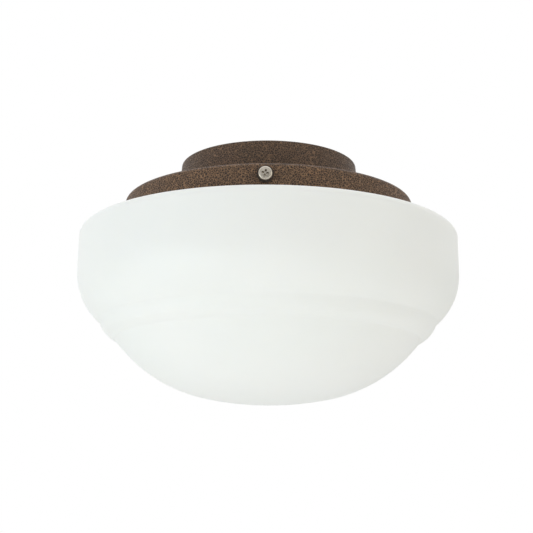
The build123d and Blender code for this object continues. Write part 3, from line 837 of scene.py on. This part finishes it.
for number, side in ((1, 1), (2, -1)):
    globe_name, cap_name = f"bulb_globe_{number}", f"bulb_cap_{number}"
    place = along_x(globe_name, side)
    outline, is_open = section_of(globe_name, axis=place, cut_angle=0)
    globe = spin(f"lamp_glass_{number}", divided(outline, 3 * MM, is_open), 128, is_open, place)
    finish_piece(globe, f"bulb_{number}", lamp_glass, [globe_name], sharp=45)
    outline, is_open = section_of(cap_name, axis=place, cut_angle=0)
    crest = max(r for r, z in outline)
    ridges = [z for r, z in outline if r > crest - 0.1 * MM]
    first, last = min(ridges) - CAP_PITCH / 2, max(ridges) + CAP_PITCH / 2

    def rolled(angle, r, z):
        """A rolled thread: a soft wave that climbs round the cap and dies away at both ends."""
        if r < crest - ROLL_DEPTH - 0.1 * MM or not first <= z <= last:
            return r, z
        wave = 0.5 + 0.5 * cos(tau * (z / CAP_PITCH - angle / tau))
        fade = min(1, (z - first) / ROLL_FADE, (last - z) / ROLL_FADE)
        return crest - ROLL_DEPTH + ROLL_DEPTH * wave * fade, z

    cap = spin(f"lamp_cap_{number}", divided(outline, 0.35 * MM, is_open), 96, is_open, place, rolled)
    finish_piece(cap, f"bulb_{number}", cap_metal, [cap_name], sharp=45)

# %% The wire connectors
connector_plastic, tree, shader = new_material("orange_nylon", Coat_Weight=0.1)
clouded(tree, shader, 200, paint(214, 118, 50), paint(202, 106, 42))
tree.links.new(mottled(tree, 800, 0.36, 0.52), shader.inputs["Roughness"])
bump(tree, shader, mottled(tree, 1800, 0, 1), 0.012 * MM)
FLUTES = 10
FLUTE_DEPTH = 0.45 * MM
CONNECTOR_BORE = 3.1 * MM
for colour, side in (("black", -1), ("white", 1)):
    name = f"wire_connector_{colour}"
    place = along_x(name, side)
    outline, is_open = section_of(name, axis=place, cut_angle=0)
    mouth = min(z for r, z in outline)

    def fluted(angle, r, z):
        """Flutes that deepen from the mouth to the closed end."""
        if r < CONNECTOR_BORE:
            return r, z
        depth = FLUTE_DEPTH * min(1, max(0, (z - mouth - 3 * MM) / (5 * MM)))
        from_bore = min(1, (r - CONNECTOR_BORE) / (1.2 * MM))
        return r - depth * (0.5 + 0.5 * cos(FLUTES * angle)) * from_bore, z

    twist = spin(f"twist_connector_{colour}", divided(outline, 0.8 * MM, is_open), 120, is_open, place, fluted)
    finish_piece(twist, "housing", connector_plastic, [name], sharp=50)

# %% [markdown]
# ## The other finishes
#
# The rest are standard pieces whose engineering shape is already right: folded strap, porcelain, brass,
# felt and cable. Each needs only its own finish, with the grain, gloss and relief of its material.

# %% Finishes for the standard pieces
EVEN = (1.0, 1.0, 1.0)


def standard_finish(name, first, second, scale, rough, metallic=0.0, stretch=EVEN, relief=0.01, **more):
    """A finish of two near colours with its own grain, gloss and relief."""
    material, tree, shader = new_material(name, Metallic=metallic, **more)
    clouded(tree, shader, scale, paint(*first), paint(*second), stretch)
    tree.links.new(mottled(tree, scale * 4, rough - 0.07, rough + 0.07, stretch), shader.inputs["Roughness"])
    bump(tree, shader, mottled(tree, scale * 9, 0, 1, stretch), relief * MM)
    return material


FINISHES = {
    "zinc_plate": zinc,
    "gasket_rubber": standard_finish("foam_gasket", (198, 196, 188), (216, 214, 206), 900, 0.9),
    "reflector_aluminium": standard_finish(
        "mill_aluminium", (200, 202, 204), (214, 216, 217), 60, 0.3, 1.0, (1, 12, 1)
    ),
    "fibre_pad": standard_finish(
        "glass_fibre_felt", (222, 216, 202), (204, 196, 178), 400, 0.95, relief=0.2
    ),
    "socket_porcelain": standard_finish(
        "porcelain_glaze", (238, 235, 227), (230, 227, 218), 30, 0.15, Coat_Weight=0.5
    ),
    "shell_brass": standard_finish("rolled_brass", (200, 170, 108), (180, 150, 92), 90, 0.3, 1.0),
    "lamp_solder": standard_finish("lead_free_solder", (160, 160, 156), (180, 180, 176), 300, 0.4, 1.0),
    "lamp_stem": standard_finish("stem_glass", (225, 230, 227), (215, 221, 219), 60, 0.1),
    "lead_black": standard_finish("black_sleeve", (26, 26, 28), (36, 36, 38), 300, 0.45),
    "lead_white": standard_finish("white_sleeve", (232, 230, 224), (222, 219, 212), 300, 0.45),
    "bushing_nylon": standard_finish("black_nylon", (38, 38, 40), (48, 48, 50), 200, 0.5),
}
for entry in frame["record"]["subparts"]:
    if entry["material_slot"] in FINISHES:
        part = nodes[entry["node"]]
        part.data.materials.clear()
        part.data.materials.append(FINISHES[entry["material_slot"]])
